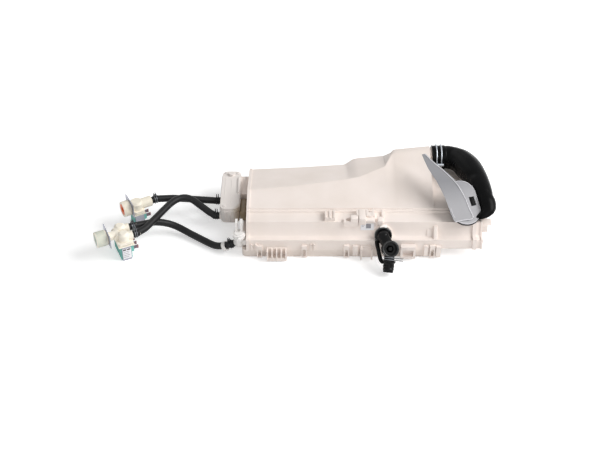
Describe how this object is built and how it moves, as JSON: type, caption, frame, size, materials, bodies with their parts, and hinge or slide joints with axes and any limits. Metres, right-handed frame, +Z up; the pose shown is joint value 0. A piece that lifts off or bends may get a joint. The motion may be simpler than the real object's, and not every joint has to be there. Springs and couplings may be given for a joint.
{
  "type": "washing machine dispenser housing",
  "caption": "Hollow dispenser drawer housing with distributor cover, solenoid inlet valves, hoses, clamped drain elbow, outlet spout and dosing connector.",
  "frame": {"origin": "middle of the distributor cover's flat outer face, on which the housing lies upside down", "axes": "+X towards the drawer mouth, +Y away from the side with the snap clips and dosing connector, +Z up, from the cover to the tub floor"},
  "size_m": [0.6638, 0.2441, 0.131],
  "materials": {
    "ivory_plastic": "satin",
    "cover_plastic": "satin",
    "manifold_plastic": "satin",
    "white_plastic": "satin",
    "label_white": "satin",
    "black_rubber": "matte",
    "zinc_wire": "satin",
    "grey_plastic": "satin",
    "valve_cream": "satin",
    "valve_rubber": "matte",
    "orange_plastic": "satin",
    "dark_mesh": "matte",
    "pale_green": "satin",
    "plate_steel": "satin",
    "core_steel": "satin",
    "spring_steel": "satin",
    "teal_plastic": "satin"
  },
  "bodies": {
    "root": {"housing_shell": "ivory_plastic", "distributor_cover": "cover_plastic", "nozzle_plate": "cover_plastic", "rear_manifold": "manifold_plastic", "port_elbow": "white_plastic", "hose_clip": "white_plastic", "sticker": "label_white", "drain_hose": "black_rubber", "drain_clamp": "zinc_wire", "outlet_spout": "grey_plastic", "dosing_collar": "black_rubber", "dosing_elbow": "black_rubber", "dosing_clamp": "zinc_wire", "dosing_plug": "black_rubber", "hot_hose": "black_rubber", "main_hose": "black_rubber", "prewash_hose": "black_rubber", "hot_valve_clamp": "zinc_wire", "main_valve_clamp": "zinc_wire", "prewash_valve_clamp": "zinc_wire", "hot_port_clamp": "zinc_wire", "main_port_clamp": "zinc_wire", "prewash_port_clamp": "zinc_wire", "hot_valve_body": "valve_cream", "hot_valve_bonnet": "valve_cream", "hot_diaphragm": "valve_rubber", "hot_flow_insert": "orange_plastic", "hot_inlet_filter": "dark_mesh", "hot_mount_plate": "plate_steel", "hot_guide_tube": "valve_cream", "hot_spring": "spring_steel", "hot_coil": "teal_plastic", "hot_yoke": "plate_steel", "hot_terminals": "plate_steel", "cold_valve_body": "valve_cream", "cold_valve_bonnet": "valve_cream", "cold_flow_insert": "pale_green", "cold_mount_plate": "plate_steel", "main_diaphragm": "valve_rubber", "main_guide_tube": "valve_cream", "main_spring": "spring_steel", "main_coil": "teal_plastic", "main_yoke": "plate_steel", "main_terminals": "plate_steel", "prewash_diaphragm": "valve_rubber", "prewash_guide_tube": "valve_cream", "prewash_spring": "spring_steel", "prewash_coil": "teal_plastic", "prewash_yoke": "plate_steel", "prewash_terminals": "plate_steel"},
    "hot_plunger_body": {"hot_plunger": "core_steel"},
    "main_plunger_body": {"main_plunger": "core_steel"},
    "prewash_plunger_body": {"prewash_plunger": "core_steel"}
  },
  "joints": [
    {"name": "hot_plunger_travel", "type": "slide", "parent": "root", "child": "hot_plunger_body", "axis": [0, 0, -1], "range_m": [0, 0.0025], "stiffness_N_per_m": 150, "springref_m": -0.004, "deforming": ["hot_spring"]},
    {"name": "main_plunger_travel", "type": "slide", "parent": "root", "child": "main_plunger_body", "axis": [0, 0, -1], "range_m": [0, 0.0025], "stiffness_N_per_m": 150, "springref_m": -0.004, "deforming": ["main_spring"]},
    {"name": "prewash_plunger_travel", "type": "slide", "parent": "root", "child": "prewash_plunger_body", "axis": [0, 0, -1], "range_m": [0, 0.0025], "stiffness_N_per_m": 150, "springref_m": -0.004, "deforming": ["prewash_spring"]}
  ]
}
